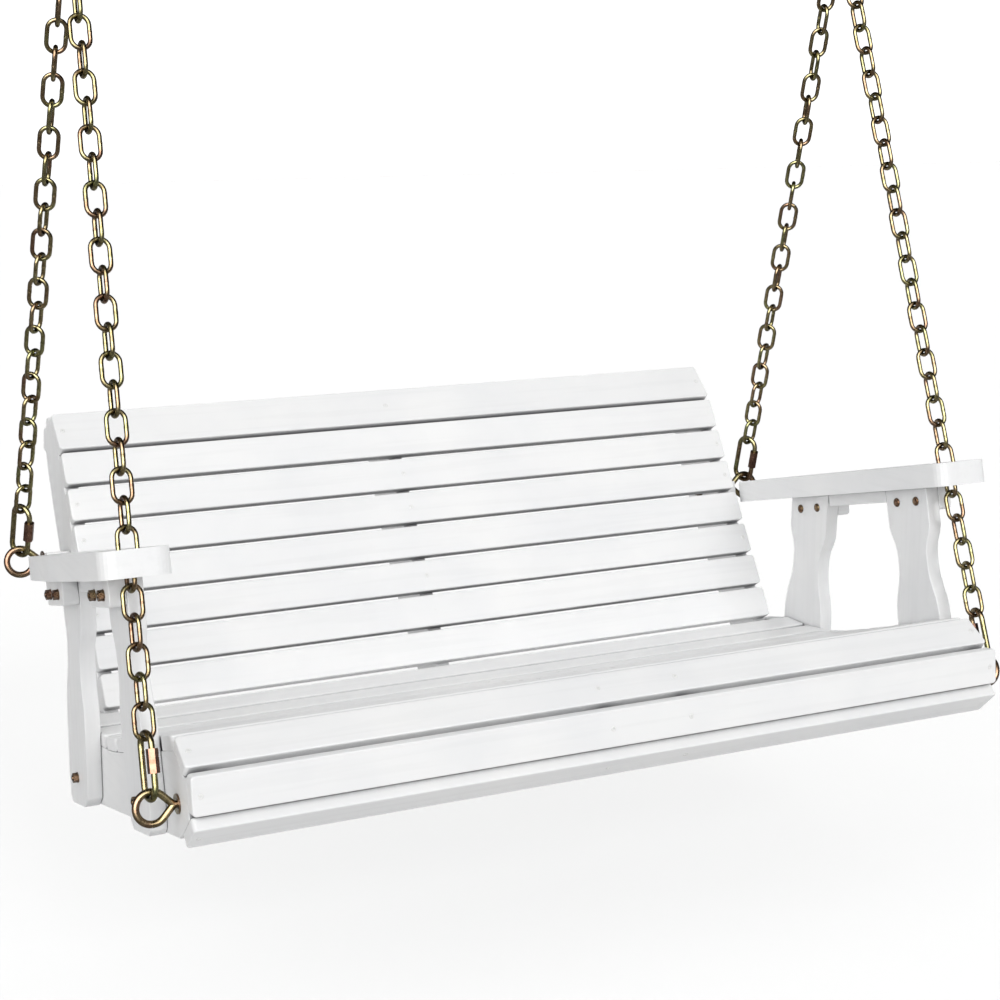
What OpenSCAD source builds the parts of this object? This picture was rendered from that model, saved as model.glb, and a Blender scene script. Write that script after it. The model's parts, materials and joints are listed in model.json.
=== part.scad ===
// Wooden porch swing hung on four chains: slatted rollback bench, vase-shaped arm posts,
// thick armrests, eye bolts, quick links, welded chains and two ceiling hook plates.
// Millimetres. X runs along the bench, the front is -Y, Z is up. The origin is the middle
// of the swing axis, which passes through the bars of the two ceiling hooks.
//
// The bench is drawn in its own frame (origin at the bottom front edge of the lowest back
// slat) and then leaned back by hang_tilt, so that its weight hangs under the swing axis.

/* [Bench] */
// length of the back slats along X
back_len = 1219; // [900:1:1800]
// length of the seat slats along X
seat_len = 1288; // [960:1:1900]
// how far the whole bench leans back when it hangs still, degrees
hang_tilt = 12.1; // [0:0.1:20]
// thickness of the posts, uprights and middle seat frames
board_t = 24; // [18:1:40]

/* [Slats] */
// width of one slat
slat_w = 54; // [40:0.5:90]
// width of the top slat of the back
top_w = 72; // [50:0.5:90]
// thickness of one slat
slat_t = 20; // [12:1:30]
// spacing of the back slats, centre to centre
slat_pitch = 61.8; // [45:0.2:100]
// spacing of the seat slats, centre to centre
seat_pitch = 63.0; // [45:0.2:100]
// number of back slats, the tilted top one included
back_count = 8; // [4:1:12]
// number of seat slats behind the rolled front
seat_count = 8; // [4:1:12]
// lean of the back from the bench's own vertical, degrees
back_lean = 18; // [0:1:35]

/* [Arms] */
// thickness of an armrest
arm_t = 37; // [20:1:50]
// height of the armrest's top above the bench origin
arm_z = 244.5; // [180:0.5:320]
// width of an arm post's top block
post_w = 108; // [60:1:140]
// centre of the front post, bench Y
front_post_y = -388; // [-480:1:-300]
// centre of the rear post's top, bench Y
rear_post_y = -107; // [-200:1:0]

/* [Chain] */
// wire diameter of a chain link
link_d = 6.5; // [4:0.5:10]
// outer length of a chain link
link_len = 53; // [30:1:80]
// outer width of a chain link
link_w = 33; // [20:1:50]
// links in each front chain
front_links = 29; // [10:1:60]
// links in each rear chain
rear_links = 24; // [10:1:60]

/* [Fittings] */
// wire diameter of the eye bolts and top rings
eye_d = 10; // [6:0.5:14]
// outer diameter of an eye bolt's ring
eye_od = 52; // [36:1:70]
// outer length of a quick link
quick_len = 95; // [60:1:120]
// outer width of a quick link
quick_w = 42; // [28:1:60]
// wire diameter of a quick link
quick_d = 8.5; // [5:0.5:12]
// bar diameter of a ceiling hook
bar_d = 12; // [8:1:16]

/* [Hidden] */
$fn = 24;
fit_gap = 0.05;                       // radial clearance round every shank
half_back = back_len / 2;
half_seat = seat_len / 2;
end_frame_t = half_seat - half_back;  // end seat frames fill the step from back to seat
arm_under = arm_z - arm_t;
frame_bottom = -138;                  // lower edge of the seat frames
post_foot = -139;

// middle supports: the left one carries the back's middle upright too
mid_x = [-33, 94];

// seat surface, bench [Y, Z]
seat_curve = [[-520, -1.5], [-471, -4], [-343, -16.5], [-224, -27], [-150, -31],
              [-90, -27], [-40, -17], [0, -7]];
function seat_z(y) = lookup(y, seat_curve);
function seat_start(k) = let(y = -4 - k * seat_pitch) [y, seat_z(y)];
function seat_end(k) = let(y = -4 - k * seat_pitch - slat_w) [y, seat_z(y)];

// every slat of the seat and the rolled front as [upper edge, direction] in bench [Y, Z]
function unit2(v) = v / norm(v);
seat_rows = [for (k = [0:seat_count - 1]) [seat_start(k), unit2(seat_end(k) - seat_start(k))]];
nose_row = [[-516, -2.5], [-cos(43.5), -sin(43.5)]];
front_row = [[-575.5, -50], [sin(7.7), -cos(7.7)]];
under_row = [[-567, -121], [cos(30.4), -sin(30.4)]];
// the back: row 0 is the lowest slat, the last one is tilted back further
top_tilt = 17;
function back_point(n, s) = [s * sin(back_lean) + n * cos(back_lean),
                             s * cos(back_lean) - n * sin(back_lean)];
back_rows = [for (k = [0:back_count - 2])
                 [back_point(0, k * slat_pitch + slat_w), [-sin(back_lean), -cos(back_lean)]]];
top_foot = back_point(0, (back_count - 1) * slat_pitch);
top_dir = [-sin(back_lean + top_tilt), -cos(back_lean + top_tilt)];
top_row = [top_foot - top_w * top_dir, top_dir];
// the cap slat lies behind it, facing up and back
cap_row = [back_point(117, 477), unit2(back_point(88, 506) - back_point(117, 477))];
cap_w = 42;
rail_front = -1;                      // front face of the rear rail, from the slats' front
rail_s = [-80, -36];

// inner side of a row, away from its show face: rows are seen from the front or from above
function inner(dir) = [-dir[1], dir[0]];
function row_at(row, along, deep) = row[0] + along * row[1] + deep * inner(row[1]);

// arm posts: [height, half width as a share of post_w / 2] from the top block downwards
post_shape = [[146, 1], [132, 0.91], [118, 0.78], [104, 0.72], [86, 0.71], [66, 0.74],
              [48, 0.83], [30, 0.945], [12, 1.02], [-4, 1.04], [-110, 1.04]];
post_toe = [[-131, 0.93], [post_foot, 0.7]];
rear_post_lean = 16.2;                // the rear posts lean forward towards the top, degrees
rear_post_slope = tan(rear_post_lean);
bolt_z = 186.4;
bolt_step = 50.4;
foot_bolt_z = -96;
block_h = 38;
function rear_axis(z) = rear_post_y + (bolt_z - z) * rear_post_slope;

// hanging points, bench frame
front_eye = [679.2, -502.2, -91.3];
rear_eye = [684.9, 161.6, 237.4];
top_ring = [635.3, -380.1, 1142.4];
ring_wire_r = (eye_od - eye_d) / 2;
top_ring_r = 30;                      // wire centre radius of the top rings
ring_drop = top_ring_r - eye_d / 2 - bar_d / 2 - 0.3;
turn_front = -10;                     // turn of a chain from its top ring down, degrees
turn_rear_left = 61;
turn_rear_right = -70;
hanger_t = 38;

// screws and bolts
screw_d = 4;
screw_head = 8;
bolt_d = 8;
sleeve_len = 32;
sleeve_af = 14;

// ---- frames and shared shapes ----

// places bench-frame geometry in the hanging position
module bench() {
    translate([0, 0, -ring_drop])
        rotate([-hang_tilt, 0, 0])
            translate([0, -top_ring[1], -top_ring[2]])
                children();
}

// a profile drawn in (Y, Z), from x0 to x0 + t
module board(x0, t) {
    translate([x0, 0, 0])
        rotate([90, 0, 90])
            linear_extrude(t)
                children();
}

// the same thing on the left and the right
module both_sides() {
    children();
    mirror([1, 0, 0])
        children();
}

// a rod along X from x0, length l
module rod_x(p, x0, l, d) {
    translate([x0, p[0], p[1]])
        rotate([0, 90, 0])
            cylinder(h = l, d = d);
}

// a rod that enters a row square to its face, its outer end at the face
module rod_row(row, along, x, l, d, out = 0) {
    p = row_at(row, along, -out);
    q = inner(row[1]);
    translate([x, p[0], p[1]])
        rotate([atan2(-q[0], q[1]), 0, 0])
            cylinder(h = l, d = d);
}

// slat section with softened edges, hanging from its row's upper edge
module slat_section(row, w, t) {
    r = 3;
    corners = [[r, r, 180], [w - r, r, 270], [w - r, t - r, 0], [r, t - r, 90]];
    polygon([for (c = corners, a = [0:30:90])
        row_at(row, c[0] + r * cos(c[2] + a), c[1] + r * sin(c[2] + a))]);
}

// ---- slats and their screws ----

seat_screw_x = [-half_seat + 12, mid_x[0], mid_x[1], half_seat - 12];
back_screw_x = [-half_back + board_t / 2, mid_x[0], half_back - board_t / 2];

module slat(row, len, w, screw_x) {
    difference() {
        board(-len / 2, len)
            slat_section(row, w, slat_t);
        for (x = screw_x)
            rod_row(row, w / 2, x, slat_t + 2, screw_d + 2 * fit_gap, 1);
    }
}

module back_slat(row, w = slat_w) {
    bench() slat(row, back_len, w, back_screw_x);
}

module seat_slat(row) {
    bench() slat(row, seat_len, slat_w, seat_screw_x);
}

module screw(row, w, x) {
    rod_row(row, w / 2, x, 0.8, screw_head, 0.8);
    rod_row(row, w / 2, x, slat_t + 18.8, screw_d, 0.8);
}

module pilot(row, w, x) {
    rod_row(row, w / 2, x, slat_t + 19, screw_d + 2 * fit_gap);
}

all_seat_rows = concat(seat_rows, [nose_row, front_row, under_row]);

module back_screws() {
    bench() {
        for (x = back_screw_x, row = back_rows)
            screw(row, slat_w, x);
        for (x = back_screw_x) {
            screw(top_row, top_w, x);
            screw(cap_row, cap_w, x);
        }
    }
}

module seat_screws() {
    bench()
        for (x = seat_screw_x, row = all_seat_rows)
            screw(row, slat_w, x);
}

// ---- uprights and seat frames ----

// back upright: slats on its front edge, rolled top, deeper in the middle of its height
module upright_profile() {
    deep = slat_t + fit_gap;
    top_in = [row_at(top_row, top_w, deep), row_at(top_row, 0, deep)];
    cap_in = [row_at(cap_row, cap_w, deep), row_at(cap_row, 0, deep)];
    polygon(concat(
        [back_point(slat_t, -138), back_point(slat_t, (back_count - 1) * slat_pitch - 8)],
        top_in,
        [back_point(50, 508), back_point(63, 508)],
        cap_in,
        [for (p = [[111, 430], [118, 370], [124, 300], [124, 230], [118, 130], [106, 40],
                   [92, -60], [84, -117]])
            back_point(p[0], p[1])]));
}

module upright(x0, screw_x) {
    bench()
        difference() {
            board(x0, board_t)
                upright_profile();
            for (row = back_rows)
                pilot(row, slat_w, screw_x);
            pilot(top_row, top_w, screw_x);
            pilot(cap_row, cap_w, screw_x);
            if (abs(screw_x) > 100)
                rod_x([rear_eye[1], rear_eye[2]], x0 - 1, board_t + 2, eye_d + 2 * fit_gap);
        }
}

// outline shared by the seat frames: along the undersides of the slats, then round the nose
function frame_edge(row, a) = row_at(row, a, slat_t + fit_gap);
function frame_seat(y_max) = [for (row = seat_rows, a = [0, slat_w])
    if (frame_edge(row, a)[0] < y_max) frame_edge(row, a)];
function frame_nose() = [
    frame_edge(nose_row, 0), frame_edge(nose_row, slat_w),
    frame_edge(front_row, 6), frame_edge(front_row, slat_w - 1),
    frame_edge(under_row, 9), frame_edge(under_row, slat_w)];

module end_frame_profile() {
    polygon(concat(
        [[62, -14], [54, -8], [-2, -8]],
        frame_seat(10),
        frame_nose(),
        [[-496, frame_bottom], [30, frame_bottom], [46, -128]]));
}

module mid_frame_profile() {
    polygon(concat(
        [back_point(rail_front, -33)],
        frame_seat(-13),
        frame_nose(),
        [[-496, frame_bottom], back_point(rail_front, -145.4)]));
}

// the left end frame; the right one is its mirror image
module end_frame() {
    bench()
        difference() {
            board(-half_seat, end_frame_t)
                end_frame_profile();
            for (row = all_seat_rows)
                pilot(row, slat_w, seat_screw_x[0]);
            rod_x([front_eye[1], front_eye[2]], -half_seat - 1, end_frame_t + 2,
                  eye_d + 2 * fit_gap);
            for (y = [front_post_y, rear_axis(foot_bolt_z)])
                rod_x([y, foot_bolt_z], -half_seat - 1, end_frame_t + 2, bolt_d + 2 * fit_gap);
        }
}

module mid_frame(x) {
    bench()
        difference() {
            board(x - board_t / 2, board_t)
                mid_frame_profile();
            for (row = all_seat_rows)
                pilot(row, slat_w, x);
        }
}

// cross rail under the lowest back slat, between the end frames
module rear_rail() {
    bench()
        board(-half_back, back_len)
            polygon([for (p = [[rail_front, 1], [rail_front, 0], [slat_t, 0], [slat_t, 1]])
                back_point(p[0], rail_s[p[1]])]);
}

// ---- arms ----

// one edge of a post from the top down: the board is cut square to its own lean, and
// its top and toe are cut level
function post_axis(z, lean) = lean > 0 ? rear_axis(z) : front_post_y;
function post_edge(side, lean) = concat(
    [[post_axis(arm_under, lean) + side * post_w / 2 / cos(lean), arm_under]],
    [for (p = post_shape)
        [post_axis(p[0], lean), p[0]] + side * p[1] * post_w / 2 * [cos(lean), sin(lean)]],
    [for (p = post_toe) [post_axis(p[0], lean) + side * p[1] * post_w / 2, p[0]]]);

module post_profile(lean) {
    back = post_edge(1, lean);
    front = post_edge(-1, lean);
    polygon(concat(back, [for (i = [len(front) - 1:-1:0]) front[i]]));
}

function top_bolts(y) = [[y - bolt_step / 2, bolt_z], [y + bolt_step / 2, bolt_z]];
post_axes = [front_post_y, rear_post_y];
foot_bolts = [[front_post_y, foot_bolt_z], [rear_axis(foot_bolt_z), foot_bolt_z]];

// a left-hand post; the right-hand one is its mirror image
module post(lean) {
    bench()
        difference() {
            board(-half_seat - board_t, board_t)
                post_profile(lean);
            for (p = concat(top_bolts(lean > 0 ? rear_post_y : front_post_y), foot_bolts))
                rod_x(p, -half_seat - board_t - 1, board_t + 2, bolt_d + 2 * fit_gap);
        }
}

// blocks outside the post tops that carry the armrest's overhang
module arm_blocks() {
    r = 7;
    bench() both_sides()
        for (y = post_axes)
            difference() {
                board(half_seat + board_t, board_t)
                    polygon(concat(
                        [[y - post_w / 2, arm_under], [y - post_w / 2, arm_under - block_h + r]],
                        [for (a = [210:30:270]) [y - post_w / 2 + r + r * cos(a),
                                                 arm_under - block_h + r + r * sin(a)]],
                        [for (a = [270:30:330]) [y + post_w / 2 - r + r * cos(a),
                                                 arm_under - block_h + r + r * sin(a)]],
                        [[y + post_w / 2, arm_under - block_h + r],
                         [y + post_w / 2, arm_under]]));
                for (p = top_bolts(y))
                    rod_x(p, half_seat + board_t - 1, board_t + 2, bolt_d + 2 * fit_gap);
            }
}

// battens under the armrests, from the rear post to the front one
module arm_cleats() {
    y0 = front_post_y + post_w / 2;
    y1 = rear_axis(arm_under) - post_w / 2 / cos(rear_post_lean);
    bench() both_sides()
        translate([half_seat, y0, arm_under - 20])
            cube([board_t, y1 - y0 - 0.5, 20]);
}

// a left armrest, narrower behind the rear post; the front chain passes through its hole
module armrest() {
    in_x = 618.6;
    out_x = 716.5;
    front_y = -514;
    r = 22;
    bench()
        mirror([1, 0, 0])
            translate([0, 0, arm_under])
                difference() {
                    linear_extrude(arm_t)
                        polygon(concat(
                            [for (a = [180:15:270]) [in_x + r + r * cos(a),
                                                     front_y + r + r * sin(a)]],
                            [for (a = [270:15:360]) [out_x - r + r * cos(a),
                                                     front_y + r + r * sin(a)]],
                            [[out_x, -200], [690, 68], [685, 75], [in_x, 75]]));
                    translate([chain_x(), chain_y(), -1])
                        cylinder(h = arm_t + 2, d = 50, $fn = 48);
                }
}

// where the front chain crosses the armrest's middle height
function chain_share() = (arm_z - arm_t / 2 - front_eye[2]) / (top_ring[2] - front_eye[2]);
function chain_x() = front_eye[0] + chain_share() * (top_ring[0] - front_eye[0]);
function chain_y() = front_eye[1] + chain_share() * (top_ring[1] - front_eye[1]);

// packing blocks that hold the rear eye bolts clear of the uprights
module hanger_blocks() {
    bench() both_sides()
        difference() {
            translate([half_back, rear_eye[1] - 28, 211])
                cube([hanger_t, 56, 36]);
            rod_x([rear_eye[1], rear_eye[2]], half_back - 1, hanger_t + 2, eye_d + 2 * fit_gap);
        }
}

// ---- bolts of the arm posts ----

// length of wood each bolt clamps, from the inner face outwards
top_grip = 2 * board_t;
foot_grip = end_frame_t + board_t;

module round_head_bolt(p, x0, grip) {
    rod_x(p, x0 - 4, 4, 15);
    rod_x(p, x0, grip + 9.5, bolt_d);
}

module hex_nut(p, x0) {
    difference() {
        translate([x0, p[0], p[1]])
            rotate([0, 90, 0])
                union() {
                    cylinder(h = 1.6, d = 16);
                    translate([0, 0, 1.6])
                        cylinder(h = 6.5, d = 13 / cos(30), $fn = 6);
                }
        rod_x(p, x0 - 1, 10, bolt_d + 2 * fit_gap);
    }
}

module arm_bolts() {
    bench() both_sides() {
        for (y = post_axes, p = top_bolts(y))
            round_head_bolt(p, half_seat, top_grip);
        for (p = foot_bolts)
            round_head_bolt(p, half_back, foot_grip);
    }
}

module arm_nuts() {
    bench() both_sides() {
        for (y = post_axes, p = top_bolts(y))
            hex_nut(p, half_seat + top_grip);
        for (p = foot_bolts)
            hex_nut(p, half_back + foot_grip);
    }
}

// ---- eye bolts ----

module ring(r, d) {
    rotate_extrude($fn = 48)
        translate([r, 0])
            circle(d = d);
}

// an eye bolt on the right: its shank runs inwards along X and is bent round in X-Z to a
// drop-shaped eye, which closes against a washer
module eye_bolt(eye, face_x, inner_x) {
    p = [eye[1], eye[2]];
    neck = eye[0] - face_x - 6;
    mouth = acos(ring_wire_r / neck);
    translate(eye) {
        rotate([90, 0, 0])
            rotate([0, 0, mouth - 180])
                rotate_extrude(angle = 360 - 2 * mouth, $fn = 48)
                    translate([ring_wire_r, 0])
                        circle(d = eye_d);
        for (leg = [[-1, -mouth], [1, mouth - 180]])
            translate([-ring_wire_r * cos(mouth), 0, leg[0] * ring_wire_r * sin(mouth)])
                rotate([0, leg[1], 0])
                    cylinder(h = neck * sin(mouth), d = eye_d);
        translate([-neck, 0, 0])
            sphere(d = eye_d);
    }
    rod_x(p, inner_x - 16, eye[0] - neck - inner_x + 16, eye_d);
    rod_x(p, face_x, 2.5, 27);
}

module eye_bolts_front() {
    bench() both_sides() eye_bolt(front_eye, half_seat, half_back);
}

module eye_bolts_rear() {
    bench() both_sides() eye_bolt(rear_eye, half_back + hanger_t, half_back - board_t);
}

module eye_nut(p, x0) {
    difference() {
        translate([x0 - 10, p[0], p[1]])
            rotate([0, 90, 0])
                union() {
                    cylinder(h = 8, d = 17 / cos(30), $fn = 6);
                    translate([0, 0, 8])
                        cylinder(h = 2, d = 26);
                }
        rod_x(p, x0 - 11, 12, eye_d + 2 * fit_gap);
    }
}

module eye_nuts() {
    bench() both_sides() {
        eye_nut([front_eye[1], front_eye[2]], half_back);
        eye_nut([rear_eye[1], rear_eye[2]], half_back - board_t);
    }
}

// ---- chains ----

// where a chain pulls on an eye: the middle of the ring's wire, on the side of the pull
function anchor(eye) = let(pull = top_ring - eye)
    eye + ring_wire_r * [pull[0], 0, pull[2]] / norm([pull[0], 0, pull[2]]);

// puts a piece drawn along +Z at distance up the line from an anchor to the top ring; its
// width lies at twist degrees from X, measured in plan
module on_line(eye, up, twist) {
    u = (top_ring - anchor(eye)) / norm(top_ring - anchor(eye));
    side = [cos(twist), sin(twist), 0];
    flat = side - (side * u) * u;
    w = flat / norm(flat);
    n = cross(u, w);
    p = anchor(eye) + up * u;
    multmatrix([[w[0], n[0], u[0], p[0]], [w[1], n[1], u[1], p[1]], [w[2], n[2], u[2], p[2]]])
        children();
}

// oval of round wire from z = 0 (lower wire centre) upwards, width along X
module oval(len, width, d) {
    r = (width - d) / 2;
    straight = len - d - 2 * r;
    translate([0, 0, r])
        rotate([90, 0, 0])
            rotate([0, 0, 180])
                rotate_extrude(angle = 180)
                    translate([r, 0])
                        circle(d = d);
    translate([0, 0, r + straight])
        rotate([90, 0, 0])
            rotate_extrude(angle = 180)
                translate([r, 0])
                    circle(d = d);
    for (x = [-r, r])
        translate([x, 0, r])
            cylinder(h = straight, d = d);
}

// lower wire centres of the quick link and the first link, up the line from the anchor
slack = 0.3;
quick_up = -(eye_d + quick_d) / 2 - 2.5 * slack;
first_link_up = quick_up + quick_len - 1.5 * quick_d - link_d / 2 - 4 * slack;
// from the last link's upper wire centre to the top ring's centre
last_gap = top_ring_r - (eye_d + link_d) / 2 - slack;

// the link planes alternate and turn a little down the chain; the last one lies across the
// top ring
module chain(eye, count, turn) {
    bow = link_len - link_d;
    reach = norm(top_ring - anchor(eye)) - last_gap - first_link_up - bow;
    pitch = reach / (count - 1);
    for (i = [0:count - 1])
        on_line(eye, first_link_up + i * pitch, (count - 1 - i) * (90 + turn / (count - 1)))
            oval(link_len, link_w, link_d);
}

quick_leg = (quick_w - quick_d) / 2;
sleeve_up = (quick_len - quick_d - sleeve_len) / 2 + 6;     // it sits above the middle
opening = link_d + 0.1;

// a quick link, open on one leg for a chain link to pass; its sleeve closes the opening
module quick_link(eye, twist) {
    on_line(eye, quick_up, twist)
        difference() {
            oval(quick_len, quick_w, quick_d);
            translate([quick_leg, 0, sleeve_up + sleeve_len - opening - 0.4])
                cylinder(h = opening, d = quick_d + 2);
        }
}

module quick_links() {
    bench() {
        quick_link(front_eye, turn_front + 90);
        quick_link(rear_eye, turn_rear_right);
        mirror([1, 0, 0]) {
            quick_link(front_eye, turn_front - 90);
            quick_link(rear_eye, turn_rear_left - 180);
        }
    }
}

// threaded sleeve on one leg of a quick link
module sleeve(eye, twist) {
    on_line(eye, quick_up + sleeve_up, twist)
        translate([quick_leg, 0, 0])
            difference() {
                cylinder(h = sleeve_len, d = sleeve_af / cos(30), $fn = 6);
                translate([0, 0, -1])
                    cylinder(h = sleeve_len + 2, d = quick_d + 2 * fit_gap);
            }
}

// ---- top fittings ----

module top_rings() {
    bench() both_sides()
        translate(top_ring)
            rotate([0, 90, 0])
                ring(top_ring_r, eye_d);
}

// ceiling plate with a U bar under it; the bar's middle is the swing axis
module hook_plate() {
    drop = 36;
    leg_x = 30;
    bend = 12;
    plate = [130, 60, 6];
    translate([-top_ring[0], 0, 0]) {
        rod_x([0, 0], -leg_x + bend, 2 * (leg_x - bend), bar_d);
        for (s = [0, 1])
            mirror([s, 0, 0]) {
                translate([leg_x - bend, 0, bend])
                    rotate([90, 0, 0])
                        rotate([0, 0, -90])
                            rotate_extrude(angle = 90)
                                translate([bend, 0])
                                    circle(d = bar_d);
                translate([leg_x, 0, bend])
                    cylinder(h = drop - bend, d = bar_d);
            }
        difference() {
            translate([-plate[0] / 2, -plate[1] / 2, drop])
                cube(plate);
            for (x = [-52, 52], y = [-18, 18])
                translate([x, y, drop - 1])
                    cylinder(h = plate[2] + 2, d = 8.5);
        }
    }
}

// ---- the assembly ----

wood = [0.93, 0.93, 0.92];
zinc = [0.80, 0.68, 0.38];
steel = [0.75, 0.70, 0.50];

color(wood) end_frame();  // seat_frame_left
color(wood) mid_frame(mid_x[0]);  // seat_frame_mid_left
color(wood) mid_frame(mid_x[1]);  // seat_frame_mid_right
color(wood) mirror([1, 0, 0]) end_frame();  // seat_frame_right
color(wood) rear_rail();
color(wood) upright(-half_back, back_screw_x[0]);  // upright_left
color(wood) upright(mid_x[0] - board_t / 2, mid_x[0]);  // upright_middle
color(wood) upright(half_back - board_t, back_screw_x[2]);  // upright_right
color(wood) back_slat(back_rows[0]);  // back_slat_1
color(wood) back_slat(back_rows[1]);  // back_slat_2
color(wood) back_slat(back_rows[2]);  // back_slat_3
color(wood) back_slat(back_rows[3]);  // back_slat_4
color(wood) back_slat(back_rows[4]);  // back_slat_5
color(wood) back_slat(back_rows[5]);  // back_slat_6
color(wood) back_slat(back_rows[6]);  // back_slat_7
color(wood) back_slat(top_row, top_w);  // back_slat_top
color(wood) back_slat(cap_row, cap_w);  // cap_slat
color(wood) seat_slat(seat_rows[0]);  // seat_slat_1
color(wood) seat_slat(seat_rows[1]);  // seat_slat_2
color(wood) seat_slat(seat_rows[2]);  // seat_slat_3
color(wood) seat_slat(seat_rows[3]);  // seat_slat_4
color(wood) seat_slat(seat_rows[4]);  // seat_slat_5
color(wood) seat_slat(seat_rows[5]);  // seat_slat_6
color(wood) seat_slat(seat_rows[6]);  // seat_slat_7
color(wood) seat_slat(seat_rows[7]);  // seat_slat_8
color(wood) seat_slat(nose_row);  // nose_slat
color(wood) seat_slat(front_row);  // front_slat
color(wood) seat_slat(under_row);  // under_slat
color(wood) post(0);  // post_front_left
color(wood) mirror([1, 0, 0]) post(0);  // post_front_right
color(wood) post(rear_post_lean);  // post_rear_left
color(wood) mirror([1, 0, 0]) post(rear_post_lean);  // post_rear_right
color(wood) arm_blocks();
color(wood) arm_cleats();
color(wood) armrest();  // armrest_left
color(wood) mirror([1, 0, 0]) armrest();  // armrest_right
color(wood) hanger_blocks();
color(zinc) arm_bolts();
color(zinc) arm_nuts();
color(steel) back_screws();
color(steel) seat_screws();
color(zinc) eye_bolts_front();
color(zinc) eye_bolts_rear();
color(zinc) eye_nuts();
color(zinc) quick_links();
color(zinc) bench() mirror([1, 0, 0]) sleeve(front_eye, turn_front - 90);  // sleeve_front_left
color(zinc) bench() sleeve(front_eye, turn_front + 90);  // sleeve_front_right
color(zinc) bench() mirror([1, 0, 0]) sleeve(rear_eye, turn_rear_left - 180);  // sleeve_rear_left
color(zinc) bench() sleeve(rear_eye, turn_rear_right);  // sleeve_rear_right
color(zinc) bench() mirror([1, 0, 0]) chain(front_eye, front_links, turn_front);  // chain_front_left
color(zinc) bench() chain(front_eye, front_links, turn_front);  // chain_front_right
color(zinc) bench() mirror([1, 0, 0]) chain(rear_eye, rear_links, turn_rear_left);  // chain_rear_left
color(zinc) bench() chain(rear_eye, rear_links, turn_rear_right);  // chain_rear_right
color(zinc) top_rings();
color(zinc) hook_plate();  // hook_plate_left
color(zinc) mirror([1, 0, 0]) hook_plate();  // hook_plate_right
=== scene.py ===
"""Looks for the porch swing: white satin paint on wood, yellow zinc on the chains and fittings.

Armrests, nuts, eye bolts, quick links, rings and hook plates keep their CAD meshes. Slats,
boards, chain links, screws and arm bolts are rebuilt here with softened edges, welds, drive
recesses and threads, each at the place of its CAD solid. Metres throughout; the origin is the
middle of the swing axis, the front of the seat is -Y and Z is up.
"""
import json
import math

import bmesh
import bpy
import numpy as np
from mathutils import Matrix, Vector


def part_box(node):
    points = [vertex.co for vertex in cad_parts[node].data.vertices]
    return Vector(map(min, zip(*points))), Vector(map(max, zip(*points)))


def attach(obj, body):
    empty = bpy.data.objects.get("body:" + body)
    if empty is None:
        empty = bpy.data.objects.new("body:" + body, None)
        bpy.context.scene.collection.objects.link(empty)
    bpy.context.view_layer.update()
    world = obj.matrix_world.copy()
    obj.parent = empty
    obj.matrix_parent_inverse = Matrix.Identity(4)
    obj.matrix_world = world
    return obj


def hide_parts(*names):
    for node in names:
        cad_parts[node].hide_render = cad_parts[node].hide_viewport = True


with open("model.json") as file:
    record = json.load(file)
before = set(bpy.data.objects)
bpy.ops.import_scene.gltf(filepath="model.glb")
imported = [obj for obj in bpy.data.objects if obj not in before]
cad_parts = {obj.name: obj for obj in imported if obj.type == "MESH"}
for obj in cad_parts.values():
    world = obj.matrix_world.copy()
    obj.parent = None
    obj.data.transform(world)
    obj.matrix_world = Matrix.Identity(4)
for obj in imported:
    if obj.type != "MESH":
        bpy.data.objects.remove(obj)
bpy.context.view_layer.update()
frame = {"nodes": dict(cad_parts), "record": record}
nodes = frame["nodes"]
body_of_node = {
    name: body
    for body, names in frame["record"]["behaviour"]["bodies"].items()
    for name in names
}
slot_of_node = {row["node"]: row["material_slot"] for row in frame["record"]["subparts"]}

MM = 0.001

# the camera, in front of the bench, off its left end and above its seat; angles in degrees
CAMERA_AT = Vector((-1.2904, -2.7087, -0.3351))
CAMERA_YAW = -25.58
CAMERA_PITCH = -11.09
CAMERA_ROLL = 0.66
SENSOR = 36.0
FOCAL_RATIO = 1.9252           # focal length over sensor width

# the floor: clear height under the bench, and half its side
FLOOR_GAP = 0.17
FLOOR_HALF = 40.0
# how far the floor covers the bright backdrop below it, which keeps its shadows pale
FLOOR_COVER = 0.45

# light: even surroundings, a backdrop that only the camera sees, and two soft suns
AMBIENT = 0.7
BACKDROP = 1.22
KEY_POWER = 1.2
KEY_FROM = (0.3, -2.8, 0.26)
KEY_SPREAD = 24
FILL_POWER = 0.5
FILL_FROM = (-3.0, -1.2, 0.9)
FILL_SPREAD = 60
LIGHT_TARGET = (0.0, -0.2, -1.0)
# where the soft box stands that metal mirrors, and how bright the room is by nearness to it
SOFT_BOX = (-0.5, -0.75, 0.45)
ROOM_LIGHT = ((0.0, 0.02), (0.7, 0.04), (0.8, 0.8), (0.9, 9.0), (1.0, 13.0))

# rounding of painted wood: slat corners and edges, board edges, armrest edges
SLAT_CORNER = 6 * MM
SLAT_EDGE = 2.6 * MM
BOARD_EDGE = 1.8 * MM
ARMREST_EDGE = 4.0 * MM
# rounding of the steel parts that keep their CAD shape
SLEEVE_EDGE = 0.9 * MM
STEEL_EDGE = {
    "arm_nuts": 0.6 * MM,
    "eye_nuts": 0.7 * MM,
    "hook_plate_left": 1.5 * MM,
    "hook_plate_right": 1.5 * MM,
}
# an edge that turns more than this is sharp, degrees
SHARP_ANGLE = 35

# chain link, outer length, outer width and wire diameter
LINK_LEN = 53 * MM
LINK_W = 33 * MM
LINK_D = 6.5 * MM


# ---- materials ----

def node_adder(tree):
    """A function that adds a node to the tree and sets its sockets."""
    def add(kind, **sockets):
        node = tree.nodes.new(kind)
        for socket, value in sockets.items():
            node.inputs[socket].default_value = value
        return node

    return add


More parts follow.
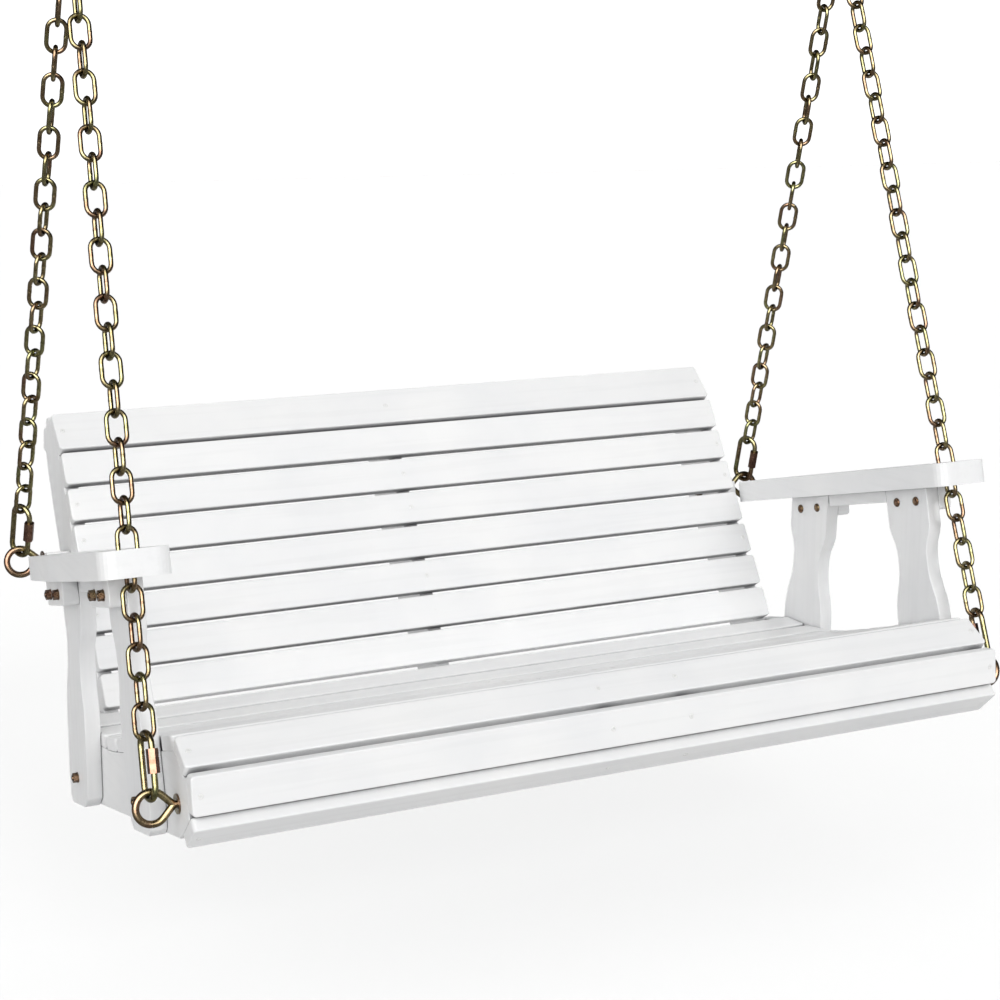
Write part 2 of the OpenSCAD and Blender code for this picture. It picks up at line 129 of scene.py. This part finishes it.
def new_material(name):
    """A material with its node tree, its shader and the tree's adder."""
    material = bpy.data.materials.new(name)
    material.use_nodes = True
    tree = material.node_tree
    return material, tree, tree.nodes["Principled BSDF"], node_adder(tree)


def stretched(tree, add, scale):
    """The piece's own coordinates, scaled along each axis."""
    place = add("ShaderNodeTexCoord")
    stretch = add("ShaderNodeMapping", Scale=scale)
    tree.links.new(place.outputs["Object"], stretch.inputs["Vector"])
    return stretch.outputs["Vector"]


def noise(tree, add, vector, scale, detail=4.0, roughness=0.5):
    """Noise read at the given coordinates."""
    node = add("ShaderNodeTexNoise", Scale=scale, Detail=detail, Roughness=roughness)
    tree.links.new(vector, node.inputs["Vector"])
    return node.outputs["Fac"]


def remap(tree, add, value, low, high, to_low, to_high):
    """The value, taken from low..high to to_low..to_high."""
    node = add("ShaderNodeMapRange")
    for index, number in enumerate((low, high, to_low, to_high), start=1):
        node.inputs[index].default_value = number
    tree.links.new(value, node.inputs["Value"])
    return node.outputs["Result"]


def ramp(tree, add, value, stops):
    """Colours along the value, as (position, colour) stops."""
    node = add("ShaderNodeValToRGB")
    band = node.color_ramp
    while len(band.elements) < len(stops):
        band.elements.new(0.5)
    for element, (position, colour) in zip(band.elements, stops):
        element.position = position
        element.color = (*colour, 1.0)
    tree.links.new(value, node.inputs["Fac"])
    return node.outputs["Color"]


def bumps(tree, add, shader, layers):
    """Stacks bump layers of (height, strength, distance) onto the shader's normal."""
    below = None
    for height, strength, distance in layers:
        node = add("ShaderNodeBump", Strength=strength, Distance=distance)
        tree.links.new(height, node.inputs["Height"])
        if below is not None:
            tree.links.new(below, node.inputs["Normal"])
        below = node.outputs["Normal"]
    tree.links.new(below, shader.inputs["Normal"])


def crevice_shade(tree, add, colour, reach, stops):
    """Paints shade into the colour: darker where other surfaces stand closer than reach."""
    cover = add("ShaderNodeAmbientOcclusion", Distance=reach)
    cover.samples = 8
    return multiply(tree, add, colour, ramp(tree, add, cover.outputs["AO"], stops))


def multiply(tree, add, first, second):
    """One colour times another."""
    node = add("ShaderNodeMix")
    node.data_type = "RGBA"
    node.blend_type = "MULTIPLY"
    node.inputs["Factor"].default_value = 1.0
    tree.links.new(first, node.inputs[6])
    tree.links.new(second, node.inputs[7])
    return node.outputs[2]


def white_paint(name, along):
    """Satin white paint over planed softwood, its grain running along the given axis."""
    material, tree, shader, add = new_material(name)
    grain_scale = [1.0, 1.0, 1.0]
    grain_scale[along] = 0.045
    grain_at = stretched(tree, add, grain_scale)
    plain_at = stretched(tree, add, (1.0, 1.0, 1.0))
    grain = noise(tree, add, grain_at, 420.0, 5.0, 0.62)
    rings = noise(tree, add, grain_at, 85.0, 2.0, 0.5)
    brush = noise(tree, add, grain_at, 1500.0, 2.0, 0.5)
    peel = noise(tree, add, plain_at, 650.0, 2.0, 0.5)
    clouds = noise(tree, add, plain_at, 7.0, 3.0, 0.5)
    tint = ramp(tree, add, clouds, [
        (0.3, (0.775, 0.78, 0.787)),
        (0.7, (0.825, 0.825, 0.823)),
    ])
    lines = ramp(tree, add, rings, [
        (0.38, (0.978, 0.978, 0.978)),
        (0.5, (1.0, 1.0, 1.0)),
    ])
    # painted shade: the paint turns darker where other parts stand within 24 mm, in gaps and
    # joints between boards
    shaded = crevice_shade(tree, add, multiply(tree, add, tint, lines), 24 * MM, [
        (0.0, (0.12, 0.12, 0.125)),
        (0.3, (0.5, 0.5, 0.51)),
        (0.62, (1.0, 1.0, 1.0)),
    ])
    tree.links.new(shaded, shader.inputs["Base Color"])
    tree.links.new(remap(tree, add, grain, 0.3, 0.7, 0.5, 0.36), shader.inputs["Roughness"])
    shader.inputs["Specular IOR Level"].default_value = 0.3
    bumps(tree, add, shader, [
        (rings, 0.25, 0.6 * MM),
        (grain, 0.35, 0.25 * MM),
        (brush, 0.2, 0.08 * MM),
        (peel, 0.15, 0.06 * MM),
    ])
    return material


def yellow_zinc(name, shift, wear):
    """Yellow passivated zinc: gold turning green and pink, brown where the film is thick."""
    material, tree, shader, add = new_material(name)
    at = stretched(tree, add, (1.0, 1.0, 1.0))
    drift = noise(tree, add, at, 26.0, 2.0, 0.5)
    spots = noise(tree, add, at, 420.0, 4.0, 0.65)
    stains = noise(tree, add, at, 130.0, 4.0, 0.6)
    film = ramp(tree, add, remap(tree, add, drift, 0.25, 0.75, shift, shift + 0.6), [
        (0.0, (0.17, 0.19, 0.09)),
        (0.3, (0.22, 0.20, 0.10)),
        (0.55, (0.20, 0.135, 0.085)),
        (0.8, (0.16, 0.085, 0.06)),
        (1.0, (0.09, 0.05, 0.035)),
    ])
    dirt = ramp(tree, add, stains, [
        (0.32, (1.0 - wear, 1.0 - 1.1 * wear, 1.0 - 1.2 * wear)),
        (0.6, (1.0, 1.0, 1.0)),
    ])
    # painted shade: the zinc turns darker where other surfaces stand within 5 mm, inside links and
    # where parts meet
    shaded = crevice_shade(tree, add, multiply(tree, add, film, dirt), 5 * MM, [
        (0.1, (0.12, 0.09, 0.07)),
        (0.75, (1.0, 1.0, 1.0)),
    ])
    tree.links.new(shaded, shader.inputs["Base Color"])
    tree.links.new(remap(tree, add, spots, 0.3, 0.7, 0.2, 0.36), shader.inputs["Roughness"])
    shader.inputs["Metallic"].default_value = 1.0
    bumps(tree, add, shader, [
        (spots, 0.25, 0.12 * MM),
        (stains, 0.2, 0.3 * MM),
    ])
    return material


def painted_steel(name):
    """Screw heads painted over with the bench, a little greyer where the paint is thin."""
    material, tree, shader, add = new_material(name)
    at = stretched(tree, add, (1.0, 1.0, 1.0))
    thin = noise(tree, add, at, 700.0, 3.0, 0.6)
    tint = ramp(tree, add, thin, [
        (0.35, (0.70, 0.70, 0.69)),
        (0.6, (0.80, 0.80, 0.795)),
    ])
    # painted shade: the head turns darker in its cross recess and where it meets the wood
    shaded = crevice_shade(tree, add, tint, 1.2 * MM, [
        (0.15, (0.12, 0.12, 0.12)),
        (0.75, (1.0, 1.0, 1.0)),
    ])
    tree.links.new(shaded, shader.inputs["Base Color"])
    tree.links.new(remap(tree, add, thin, 0.3, 0.7, 0.5, 0.35), shader.inputs["Roughness"])
    bumps(tree, add, shader, [(thin, 0.3, 0.1 * MM)])
    return material


def floor_paint(name):
    """Pale matt floor."""
    material, tree, shader, add = new_material(name)
    at = stretched(tree, add, (1.0, 1.0, 1.0))
    patches = noise(tree, add, at, 1.5, 3.0, 0.5)
    tint = ramp(tree, add, patches, [
        (0.3, (0.79, 0.79, 0.79)),
        (0.7, (0.81, 0.81, 0.81)),
    ])
    tree.links.new(tint, shader.inputs["Base Color"])
    shader.inputs["Roughness"].default_value = 0.8
    shader.inputs["Specular IOR Level"].default_value = 0.1
    shader.inputs["Alpha"].default_value = FLOOR_COVER
    return material


paint_x = white_paint("paint_grain_x", 0)
paint_y = white_paint("paint_grain_y", 1)
paint_z = white_paint("paint_grain_z", 2)
zinc = {
    "zinc_chain": yellow_zinc("zinc_chain", 0.1, 0.45),
    "zinc_eyes": yellow_zinc("zinc_eyes", 0.2, 0.3),
    "zinc_bolts": yellow_zinc("zinc_bolts", 0.3, 0.75),
    "zinc_sleeve": yellow_zinc("zinc_sleeve", 0.55, 0.4),
    "zinc_plate": yellow_zinc("zinc_plate", 0.2, 0.3),
}
screw_paint = painted_steel("painted_screws")


# ---- CAD parts that stay ----

def keep_flats(piece):
    """Shades flat faces flat next to their rounded edges."""
    shade = piece.modifiers.new("shade", "WEIGHTED_NORMAL")
    shade.keep_sharp = True


def soften(piece, width, segments):
    """Rounds a piece's sharp edges."""
    bevel = piece.modifiers.new("edges", "BEVEL")
    bevel.width = width
    bevel.segments = segments
    bevel.limit_method = "ANGLE"
    bevel.angle_limit = math.radians(SHARP_ANGLE)
    bevel.use_clamp_overlap = False
    keep_flats(piece)


def finish_node(name, material, width, segments=3):
    """Gives a CAD node its material and, if width isn't 0, soft edges."""
    piece = nodes[name]
    piece.data.materials.clear()
    piece.data.materials.append(material)
    for polygon in piece.data.polygons:
        polygon.material_index = 0
    if width:
        soften(piece, width, segments)


for node_name, slot_name in slot_of_node.items():
    if slot_name == "zinc_sleeve":
        finish_node(node_name, zinc[slot_name], SLEEVE_EDGE)
    elif slot_name in zinc:
        finish_node(node_name, zinc[slot_name], STEEL_EDGE.get(node_name, 0.0))
    elif node_name.startswith("armrest"):
        finish_node(node_name, paint_y, ARMREST_EDGE, 4)


# ---- solids of a node ----

def solids_of(name):
    """The node's separate solids, each as (corners, triangles) arrays."""
    mesh = bmesh.new()
    mesh.from_mesh(nodes[name].data)
    bmesh.ops.remove_doubles(mesh, verts=mesh.verts, dist=1e-6)
    bmesh.ops.triangulate(mesh, faces=mesh.faces)
    mesh.verts.ensure_lookup_table()
    left = set(range(len(mesh.verts)))
    solids = []
    while left:
        stack = [min(left)]
        left.discard(stack[0])
        found = set(stack)
        while stack:
            vertex = mesh.verts[stack.pop()]
            for edge in vertex.link_edges:
                other = edge.other_vert(vertex).index
                if other in left:
                    left.discard(other)
                    found.add(other)
                    stack.append(other)
        order = {index: place for place, index in enumerate(sorted(found))}
        corners = np.array([mesh.verts[i].co[:] for i in order])
        faces = {face for i in found for face in mesh.verts[i].link_faces}
        triangles = np.array([[order[v.index] for v in face.verts] for face in faces])
        solids.append((corners, triangles))
    mesh.free()
    return solids


def axes_of(solid):
    """A solid's centre and its long, middle and short axes, by where its surface lies."""
    corners, triangles = solid
    a, b, c = (corners[triangles[:, i]] for i in range(3))
    area = np.linalg.norm(np.cross(b - a, c - a), axis=1)
    middle = (a + b + c) / 3
    centre = (area[:, None] * middle).sum(axis=0) / area.sum()
    offset = middle - centre
    _, vectors = np.linalg.eigh((area[:, None] * offset).T @ offset)
    axes = vectors.T[::-1]
    spans = [corners @ axis for axis in axes]
    box_middle = sum((s.min() + s.max()) / 2 * axis for s, axis in zip(spans, axes))
    return box_middle, axes, [s.max() - s.min() for s in spans]


# ---- new pieces ----

def make_piece(name, corners, faces, material, node_name):
    """A smooth piece that stands for a CAD node and rides where that node rides."""
    data = bpy.data.meshes.new(name)
    data.from_pydata([tuple(corner) for corner in corners], [], faces)
    data.materials.append(material)
    mesh = bmesh.new()
    mesh.from_mesh(data)
    bmesh.ops.recalc_face_normals(mesh, faces=mesh.faces)
    mesh.to_mesh(data)
    mesh.free()
    data.shade_smooth()
    piece = bpy.data.objects.new(name, data)
    bpy.context.scene.collection.objects.link(piece)
    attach(piece, body_of_node[node_name])
    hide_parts(node_name)
    return piece


def grid_faces(rows, columns, close_rows=False):
    """Quads over rows of points; every row is a closed ring."""
    faces = []
    for i in range(rows if close_rows else rows - 1):
        for j in range(columns):
            k = (j + 1) % columns
            n = (i + 1) % rows
            faces.append((i * columns + j, i * columns + k, n * columns + k, n * columns + j))
    return faces


def capped_faces(rows, columns):
    """Quads over rows of points, and a face over the first row and over the last one."""
    faces = grid_faces(rows, columns)
    faces.append(tuple(range(columns)))
    faces.append(tuple(range((rows - 1) * columns, rows * columns)))
    return faces


def circle(radius, height, sides):
    """Points round the Z axis at one height."""
    angles = [2 * math.pi * j / sides for j in range(sides)]
    return [(radius * math.cos(a), radius * math.sin(a), height) for a in angles]


def join(shapes):
    """Several (corners, faces) shapes as one."""
    corners = []
    faces = []
    for shape_corners, shape_faces in shapes:
        start = len(corners)
        corners.extend(shape_corners)
        faces.extend(tuple(start + i for i in face) for face in shape_faces)
    return corners, faces


def slab_shape(length, width, thick, corner, edge):
    """A board with rounded corners in its face and softened edges all round."""
    layers = []
    for i in range(5):
        a = math.pi / 2 * i / 4
        layers.append((edge * (1 - math.sin(a)), -thick / 2 + edge * (1 - math.cos(a))))
    layers += [(inset, -z) for inset, z in reversed(layers)]
    signs = ((1, 1), (-1, 1), (-1, -1), (1, -1))
    steps = 6
    points = []
    for inset, z in layers:
        r = max(corner - inset, 0.2 * MM)
        reach_x = length / 2 - inset - r
        reach_y = width / 2 - inset - r
        for quarter, (sx, sy) in enumerate(signs):
            for i in range(steps + 1):
                a = math.pi / 2 * (quarter + i / steps)
                points.append((sx * reach_x + r * math.cos(a), sy * reach_y + r * math.sin(a), z))
    return np.array(points), capped_faces(len(layers), len(signs) * (steps + 1))


def make_wood(node_name, corners, faces, material):
    """A painted wooden piece for a CAD node, its flat faces kept flat."""
    piece = make_piece(node_name + "_painted", corners, faces, material, node_name)
    piece.data.set_sharp_from_angle(angle=math.radians(40))
    keep_flats(piece)


def build_slat(node_name):
    """A slat with its corners and edges sanded round, in the place of its CAD solid."""
    solid = solids_of(node_name)[0]
    centre, (_, wide_axis, _), (length, width, thick) = axes_of(solid)
    along = np.array((1.0, 0.0, 0.0))
    wide = wide_axis * np.array((0.0, 1.0, 1.0))
    wide /= np.linalg.norm(wide)
    shape, faces = slab_shape(length, width, thick, SLAT_CORNER, SLAT_EDGE)
    corners = shape @ np.array([along, wide, np.cross(along, wide)]) + centre
    make_wood(node_name, corners, faces, paint_x)


for node_name in [n for n in nodes if "slat" in n]:
    build_slat(node_name)


def outline_of(solid):
    """The outer outline of a board that lies across X, as points in order, and its X range."""
    corners, triangles = solid
    low, high = corners[:, 0].min(), corners[:, 0].max()
    at_low = corners[:, 0] < low + 0.01 * MM
    edges = {}
    for triangle in triangles[at_low[triangles].all(axis=1)]:
        for i, j in ((0, 1), (1, 2), (2, 0)):
            key = frozenset((int(triangle[i]), int(triangle[j])))
            edges[key] = edges.get(key, 0) + 1
    beside = {}
    for key in (k for k, count in edges.items() if count == 1):
        a, b = key
        beside.setdefault(a, []).append(b)
        beside.setdefault(b, []).append(a)
    loops = []
    while beside:
        start = min(beside, key=lambda i: tuple(corners[i]))
        loop = [start]
        previous, here = None, start
        while True:
            following = [i for i in beside[here] if i != previous][0]
            if following == start:
                break
            previous, here = here, following
            loop.append(here)
        for i in loop:
            beside.pop(i)
        loops.append(loop)
    outer = max(loops, key=lambda loop: np.prod(np.ptp(corners[loop][:, 1:], axis=0)))
    return thin_out(corners[outer][:, 1:]), low, high


def thin_out(points):
    """Drops the points of an outline that lie on a straight line or on each other."""
    kept = list(points)
    changed = True
    while changed:
        changed = False
        for i in range(len(kept)):
            before, here, after = kept[i - 1], kept[i], kept[(i + 1) % len(kept)]
            first, second = here - before, after - here
            turn = abs(first[0] * second[1] - first[1] * second[0])
            if turn < 1e-3 * np.linalg.norm(first) * np.linalg.norm(second) + 1e-12:
                del kept[i]
                changed = True
                break
    return kept


def board_shape(solid):
    """A board across X with softened edges; the fastenings cover its bolt holes."""
    outline, low, high = outline_of(solid)
    mesh = bmesh.new()
    near = [mesh.verts.new((low, y, z)) for y, z in outline]
    far = [mesh.verts.new((high, y, z)) for y, z in outline]
    mesh.faces.new(near)
    mesh.faces.new(list(reversed(far)))
    for i in range(len(near)):
        k = (i + 1) % len(near)
        mesh.faces.new((near[i], far[i], far[k], near[k]))
    bmesh.ops.recalc_face_normals(mesh, faces=mesh.faces)
    sharp = [e for e in mesh.edges if e.calc_face_angle(0.0) > math.radians(SHARP_ANGLE)]
    bmesh.ops.bevel(
        mesh, geom=sharp, offset=BOARD_EDGE, offset_type="OFFSET", segments=4, profile=0.5,
        affect="EDGES", clamp_overlap=True)
    mesh.verts.index_update()
    corners = [tuple(v.co) for v in mesh.verts]
    faces = [tuple(v.index for v in face.verts) for face in mesh.faces]
    mesh.free()
    return corners, faces


def build_boards(node_name, material):
    """Every board of a node, drawn from the outline of its CAD solid."""
    corners, faces = join(board_shape(solid) for solid in solids_of(node_name))
    make_wood(node_name, corners, faces, material)


for node_name in [n for n in nodes if n.startswith(("upright", "post"))]:
    build_boards(node_name, paint_z)
for node_name in [n for n in nodes if n.startswith(("seat_frame", "arm_blocks", "arm_cleats"))]:
    build_boards(node_name, paint_y)
build_boards("hanger_blocks", paint_z)
build_boards("rear_rail", paint_x)


def link_shape():
    """A welded link, its width along X and its length along Z; the weld is on the +X leg."""
    sides = 14
    r = (LINK_W - LINK_D) / 2
    half_leg = (LINK_LEN - LINK_D) / 2 - r
    weld = [s * t * MM for s in (-1, 1) for t in (0.3, 0.7, 1.2, 1.9, 3.0)]
    leg = sorted([-half_leg, half_leg, 0.0] + weld)
    path = [(r, z, 0.0) for z in leg]
    turns = 12
    path += [
        (r * math.cos(a), half_leg + r * math.sin(a), a)
        for a in (math.pi * i / turns for i in range(1, turns))
    ]
    path += [(-r, z, math.pi) for z in (half_leg, 0.0, -half_leg)]
    path += [
        (r * math.cos(a), -half_leg + r * math.sin(a), a)
        for a in (math.pi + math.pi * i / turns for i in range(1, turns))
    ]
    points = []
    for x, z, outward in path:
        swell = 0.0
        if x > 0.99 * r and abs(z) <= half_leg:
            bead = 0.11 * math.exp(-(z / (1.5 * MM)) ** 2)
            groove = 0.1 * math.exp(-(z / (0.35 * MM)) ** 2)
            swell = bead - groove
        radius = LINK_D / 2 * (1 + swell)
        out = np.array((math.cos(outward), 0.0, math.sin(outward)))
        for j in range(sides):
            turn = 2 * math.pi * j / sides
            ring = radius * (math.cos(turn) * out + math.sin(turn) * np.array((0.0, 1.0, 0.0)))
            points.append(np.array((x, 0.0, z)) + ring)
    return np.array(points), grid_faces(len(path), sides, close_rows=True)


def build_chain(node_name):
    """One chain: a welded link at the place of every CAD link, every third one turned over."""
    shape, faces = link_shape()
    links = []
    solids = sorted((axes_of(solid) for solid in solids_of(node_name)), key=lambda s: s[0][2])
    for i, (centre, (long_axis, wide_axis, _), _) in enumerate(solids):
        up = long_axis * math.copysign(1.0, long_axis[2])
        side = wide_axis * (1 if i % 3 else -1)
        links.append((shape @ np.array([side, np.cross(up, side), up]) + centre, faces))
    make_piece(node_name + "_links", *join(links), zinc["zinc_chain"], node_name)


for node_name in sorted(n for n in nodes if n.startswith("chain_")):
    build_chain(node_name)


def turned(profile, sides):
    """A turned shape: profile is (radius, height) from top to bottom."""
    points = [point for r, z in profile for point in circle(r, z, sides)]
    return np.array(points), capped_faces(len(profile), sides)


def cross_recess(points, radius, depth, arm):
    """Presses a cross-shaped recess into the top of a screw head."""
    pressed = points.copy()
    for point in pressed:
        x, y = abs(point[0]), abs(point[1])
        reach = math.hypot(x, y)
        in_arm = min(x, y) < arm and reach < radius
        if in_arm and point[2] > -0.1 * MM:
            point[2] -= depth * (1 - (reach / radius) ** 2) + 0.15 * MM
    return pressed


def screw_shape(length):
    """A painted screw: low domed head with a cross recess, top of the head at height 0."""
    head = 3.95 * MM
    core = 1.95 * MM
    shares = (0.04, 0.12, 0.2, 0.28, 0.36, 0.45, 0.55, 0.68, 0.82, 0.93)
    dome = [(head * share, -0.35 * MM * share ** 3) for share in shares]
    rim = [(head, -0.5 * MM), (head, -0.78 * MM)]
    shank = [(core, -0.8 * MM), (core, -length + 3 * MM), (0.3 * MM, -length)]
    points, faces = turned(dome + rim + shank, 32)
    return cross_recess(points, 0.55 * head, 0.9 * MM, 0.42 * MM), faces


def build_screws(node_name):
    """Every screw of a node, each turned a little further than the one before."""
    screws = []
    for i, solid in enumerate(solids_of(node_name)):
        centre, (long_axis, _, _), (length, _, _) = axes_of(solid)
        ends = solid[0] @ long_axis
        widths = np.linalg.norm(
            solid[0] - centre - np.outer(ends - centre @ long_axis, long_axis), axis=1)
        facing = long_axis if ends[widths.argmax()] > centre @ long_axis else -long_axis
        top = centre + facing * length / 2
        side = Vector((1, 0, 0)) if abs(facing[0]) < 0.5 else Vector((0, 1, 0))
        side = np.array(Matrix.Rotation(0.7 * i, 3, Vector(facing)) @ side)
        shape, faces = screw_shape(length)
        screws.append((shape @ np.array([side, np.cross(facing, side), facing]) + top, faces))
    make_piece(node_name + "_painted", *join(screws), screw_paint, node_name)


for node_name in ("back_screws", "seat_screws"):
    build_screws(node_name)


def threaded(radius, z_from, z_to, pitch, sides):
    """Profile rings of a threaded end; the groove climbs one pitch per turn."""
    steps = int(abs(z_to - z_from) / pitch * 6)
    rings = []
    for i in range(steps + 1):
        z = z_from + (z_to - z_from) * i / steps
        for j in range(sides):
            phase = (z / pitch - j / sides) % 1.0
            r = radius * (1 - 0.13 * (1 - abs(2 * phase - 1)))
            a = 2 * math.pi * j / sides
            rings.append((r * math.cos(a), r * math.sin(a), z))
    return rings, steps + 1


def bolt_shape(length):
    """A round-head bolt: domed head with its top at height 0, plain shank, threaded end."""
    head = 7.4 * MM
    rise = 3.9 * MM
    wire = 3.98 * MM
    thread = 14 * MM
    sides = 28
    dome = [
        (head * math.sin(a), rise * (math.cos(a) - 1) * 0.85)
        for a in (math.pi / 2 * i / 8 for i in range(1, 9))
    ]
    shank = [(head, -rise), (wire, -rise), (wire, -length + thread)]
    profile = [(0.02 * head, 0.0)] + dome + shank
    points = [point for r, z in profile for point in circle(r, z, sides)]
    rings, count = threaded(wire, -length + thread, -length + 0.6 * MM, 1.25 * MM, sides)
    points += rings + circle(0.8 * wire, -length, sides)
    return np.array(points), capped_faces(len(profile) + count + 1, sides)


def build_bolts(node_name):
    """Round-head bolts through the arm posts, heads towards the seat."""
    bolts = []
    for solid in solids_of(node_name):
        low, high = solid[0].min(axis=0), solid[0].max(axis=0)
        length = high[0] - low[0]
        middle = (low + high) / 2
        facing = np.array((-math.copysign(1.0, middle[0]), 0.0, 0.0))
        side = np.array((0.0, 1.0, 0.0))
        shape, faces = bolt_shape(length)
        turned_shape = shape @ np.array([side, np.cross(facing, side), facing])
        bolts.append((turned_shape + middle + facing * length / 2, faces))
    make_piece(node_name + "_turned", *join(bolts), zinc["zinc_bolts"], node_name)


build_bolts("arm_bolts")


# ---- stage, light and camera ----

def build_floor():
    """A wide pale floor under the bench."""
    bench_low = min(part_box(name)[0][2] for name, body in body_of_node.items() if body == "swing")
    data = bpy.data.meshes.new("floor")
    height = bench_low - FLOOR_GAP
    signs = ((-1, -1), (1, -1), (1, 1), (-1, 1))
    corners = [(sx * FLOOR_HALF, sy * FLOOR_HALF, height) for sx, sy in signs]
    data.from_pydata(corners, [], [(0, 1, 2, 3)])
    data.materials.append(floor_paint("floor_paint"))
    floor = bpy.data.objects.new("floor", data)
    bpy.context.scene.collection.objects.link(floor)


def add_sun(name, place, spread, power):
    """A large soft light far away, shining from place onto the seat; spread in degrees."""
    light = bpy.data.lights.new(name, "SUN")
    light.angle = math.radians(spread)
    light.energy = power
    lamp = bpy.data.objects.new(name, light)
    lamp.location = place
    aim = Vector(LIGHT_TARGET) - Vector(place)
    lamp.rotation_euler = aim.to_track_quat("-Z", "Y").to_euler()
    bpy.context.scene.collection.objects.link(lamp)


def mirrored_room(tree, add):
    """The room that metal mirrors: dark, with one large soft box in front."""
    place = add("ShaderNodeTexCoord")
    facing = add("ShaderNodeVectorMath")
    facing.operation = "DOT_PRODUCT"
    facing.inputs[1].default_value = Vector(SOFT_BOX).normalized()
    tree.links.new(place.outputs["Generated"], facing.inputs[0])
    stops = [(position, (grey, grey, grey)) for position, grey in ROOM_LIGHT]
    room = add("ShaderNodeBackground")
    tree.links.new(ramp(tree, add, facing.outputs["Value"], stops), room.inputs["Color"])
    return room.outputs["Background"]


def either(tree, add, test, if_not, if_so):
    """One background for the rays that pass the test, another one for the rest."""
    node = add("ShaderNodeMixShader")
    tree.links.new(test, node.inputs["Fac"])
    tree.links.new(if_not, node.inputs[1])
    tree.links.new(if_so, node.inputs[2])
    return node.outputs["Shader"]


def build_world():
    """White surroundings: one strength lights the bench, another is seen by the camera."""
    world = bpy.data.worlds.new("studio")
    world.use_nodes = True
    bpy.context.scene.world = world
    tree = world.node_tree
    add = node_adder(tree)
    white = (1.0, 1.0, 1.0, 1.0)
    light = tree.nodes["Background"]
    light.inputs["Color"].default_value = white
    light.inputs["Strength"].default_value = AMBIENT
    backdrop = add("ShaderNodeBackground", Color=white, Strength=BACKDROP)
    room = mirrored_room(tree, add)
    ray = add("ShaderNodeLightPath").outputs
    around = either(tree, add, ray["Is Glossy Ray"], light.outputs["Background"], room)
    seen = either(tree, add, ray["Is Camera Ray"], around, backdrop.outputs["Background"])
    tree.links.new(seen, tree.nodes["World Output"].inputs["Surface"])


def build_camera():
    """The camera, as placed above, with the lens that FOCAL_RATIO gives."""
    data = bpy.data.cameras.new("camera")
    data.sensor_width = SENSOR
    data.lens = SENSOR * FOCAL_RATIO
    data.clip_end = 200.0
    camera = bpy.data.objects.new("camera", data)
    camera.matrix_world = (
        Matrix.Translation(CAMERA_AT)
        @ Matrix.Rotation(math.radians(CAMERA_YAW), 4, "Z")
        @ Matrix.Rotation(math.radians(CAMERA_PITCH), 4, "X")
        @ Matrix.Rotation(math.radians(CAMERA_ROLL), 4, "Y")
        @ Matrix.Rotation(math.radians(90), 4, "X")
    )
    bpy.context.scene.collection.objects.link(camera)
    bpy.context.scene.camera = camera


build_floor()
build_world()
add_sun("key", KEY_FROM, KEY_SPREAD, KEY_POWER)
add_sun("fill", FILL_FROM, FILL_SPREAD, FILL_POWER)
build_camera()
bpy.context.scene.view_settings.view_transform = "Standard"
bpy.context.scene.view_settings.exposure = 0.0
